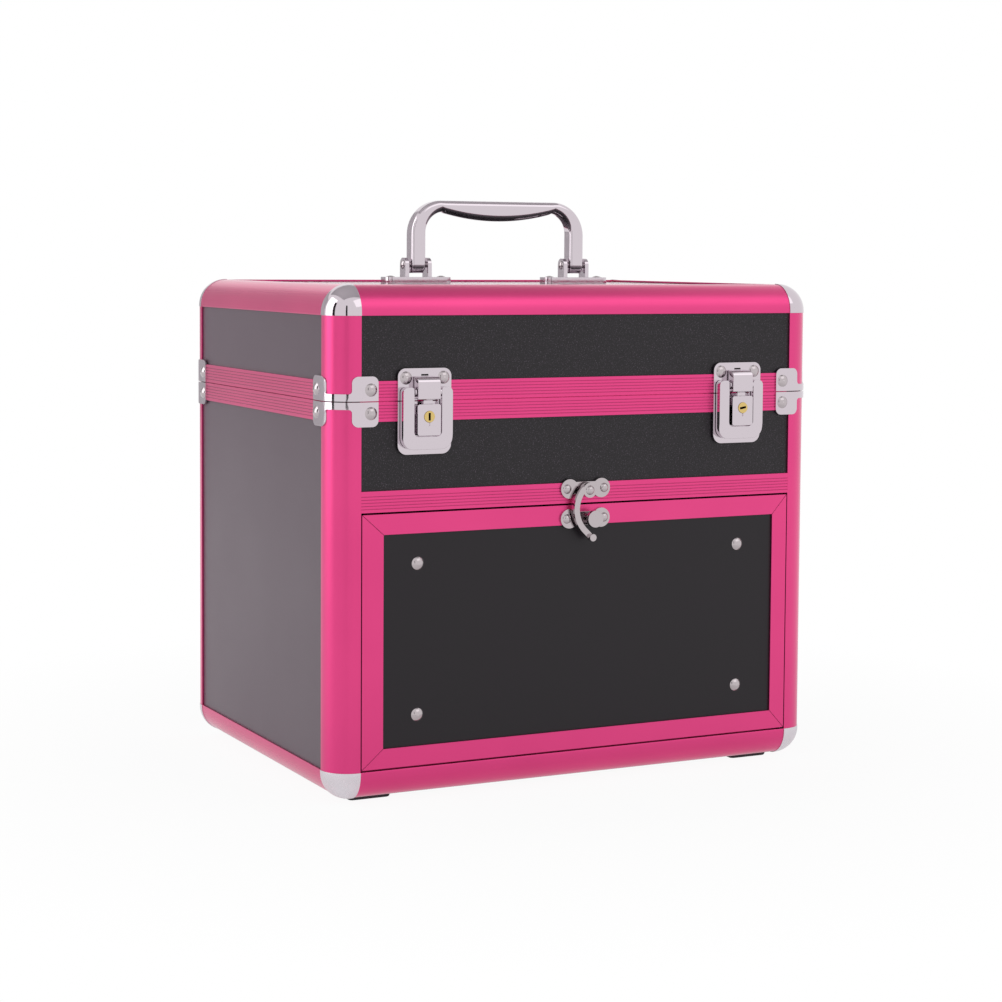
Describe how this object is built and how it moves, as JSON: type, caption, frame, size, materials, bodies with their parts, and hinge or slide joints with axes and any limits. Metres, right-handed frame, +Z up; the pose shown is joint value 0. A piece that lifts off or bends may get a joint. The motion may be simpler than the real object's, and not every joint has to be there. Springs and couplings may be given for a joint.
{
  "type": "makeup storage case",
  "caption": "Hard makeup storage case with a hinged lid, draw latches, a pull-out drawer held by a swing hook, aluminium edge profiles and a folding carrying handle.",
  "frame": {"origin": "centre of the case's footprint, on the floor under the feet", "axes": "+Z up through the handle, +X to the right along the case's width, -Y out of the front with the drawer and the latches"},
  "size_m": [0.3496, 0.2726, 0.3724],
  "materials": {
    "grained_cover": "satin",
    "smooth_board": "satin",
    "anodised_profile": "satin",
    "chrome": "polished",
    "satin_cast": "satin",
    "nickel": "polished",
    "rubber": "matte",
    "foam_lining": "matte",
    "moulded_bin": "matte",
    "brass": "polished"
  },
  "bodies": {
    "case": {"bottom_panel": "smooth_board", "base_back_panel": "grained_cover", "base_left_panel": "grained_cover", "base_right_panel": "grained_cover", "base_front_panel": "grained_cover", "shelf_panel": "smooth_board", "shelf_battens": "smooth_board", "front_left_post": "anodised_profile", "front_right_post": "anodised_profile", "rear_left_post": "anodised_profile", "rear_right_post": "anodised_profile", "bottom_front_rail": "anodised_profile", "bottom_rear_rail": "anodised_profile", "bottom_side_rails": "anodised_profile", "base_rim_rails": "anodised_profile", "header_rail": "anodised_profile", "bottom_corner_caps": "satin_cast", "base_corner_brackets": "chrome", "base_rivets": "nickel", "rubber_feet": "rubber", "drawer_guides": "smooth_board", "drawer_stop": "smooth_board", "compartment_lining": "foam_lining", "latch_base_plates": "chrome", "latch_lock_bodies": "chrome", "latch_pivot_pins": "nickel", "hook_plate": "nickel", "hinge_base_leaves": "nickel", "hinge_pins": "nickel"},
    "lid": {"lid_top_panel": "grained_cover", "lid_front_panel": "grained_cover", "lid_back_panel": "grained_cover", "lid_left_panel": "grained_cover", "lid_right_panel": "grained_cover", "lid_front_rail": "anodised_profile", "lid_rear_rail": "anodised_profile", "lid_side_rails": "anodised_profile", "lid_corner_posts": "anodised_profile", "lid_rim_rails": "anodised_profile", "lid_corner_caps": "chrome", "lid_corner_brackets": "chrome", "lid_rivets": "nickel", "lid_lining": "foam_lining", "latch_strikes": "chrome", "hinge_lid_leaves": "nickel", "handle_mounts": "chrome", "handle_pins": "nickel"},
    "handle": {"carry_handle": "chrome"},
    "drawer": {"drawer_front_panel": "smooth_board", "drawer_front_frame": "anodised_profile", "drawer_bin": "moulded_bin", "drawer_rivets": "nickel", "drawer_catch": "nickel"},
    "swing_hook": {"swing_hook": "nickel"},
    "left_lever": {"left_latch_lever": "chrome"},
    "left_hook": {"left_latch_hook": "chrome"},
    "right_lever": {"right_latch_lever": "chrome"},
    "right_hook": {"right_latch_hook": "chrome"},
    "left_plug": {"left_key_plug": "brass"},
    "right_plug": {"right_key_plug": "brass"}
  },
  "joints": [
    {"name": "lid_hinge", "type": "hinge", "parent": "case", "child": "lid", "pos_m": [0, 0.1317, 0.2476], "axis": [-1, 0, 0], "range_deg": [0, 95]},
    {"name": "drawer_slide", "type": "slide", "parent": "case", "child": "drawer", "axis": [0, -1, 0], "range_m": [0, 0.17]},
    {"name": "handle_fold", "type": "hinge", "parent": "lid", "child": "handle", "pos_m": [0, 0, 0.3296], "axis": [1, 0, 0], "range_deg": [-90, 90]},
    {"name": "hook_swing", "type": "hinge", "parent": "case", "child": "swing_hook", "pos_m": [0.0007, -0.1335, 0.1886], "axis": [0, 1, 0], "range_deg": [-8, 100]},
    {"name": "left_latch_lever", "type": "hinge", "parent": "case", "child": "left_lever", "pos_m": [-0.1122, -0.1337, 0.2532], "axis": [-1, 0, 0], "range_deg": [0, 100]},
    {"name": "left_latch_hook", "type": "hinge", "parent": "left_lever", "child": "left_hook", "pos_m": [-0.1122, -0.1333, 0.2498], "axis": [-1, 0, 0], "range_deg": [-122, 0]},
    {"name": "right_latch_lever", "type": "hinge", "parent": "case", "child": "right_lever", "pos_m": [0.1122, -0.1337, 0.2532], "axis": [-1, 0, 0], "range_deg": [0, 100]},
    {"name": "right_latch_hook", "type": "hinge", "parent": "right_lever", "child": "right_hook", "pos_m": [0.1122, -0.1333, 0.2498], "axis": [-1, 0, 0], "range_deg": [-122, 0]},
    {"name": "left_key_turn", "type": "hinge", "parent": "case", "child": "left_plug", "pos_m": [-0.1122, -0.1335, 0.2382], "axis": [0, 1, 0], "range_deg": [0, 90]},
    {"name": "right_key_turn", "type": "hinge", "parent": "case", "child": "right_plug", "pos_m": [0.1122, -0.1335, 0.2382], "axis": [0, 1, 0], "range_deg": [-80, 0]}
  ],
  "couplings": [
    {"joint": "left_latch_hook", "follows": "left_latch_lever", "ratio": -1.15},
    {"joint": "right_latch_hook", "follows": "right_latch_lever", "ratio": -1.15}
  ]
}
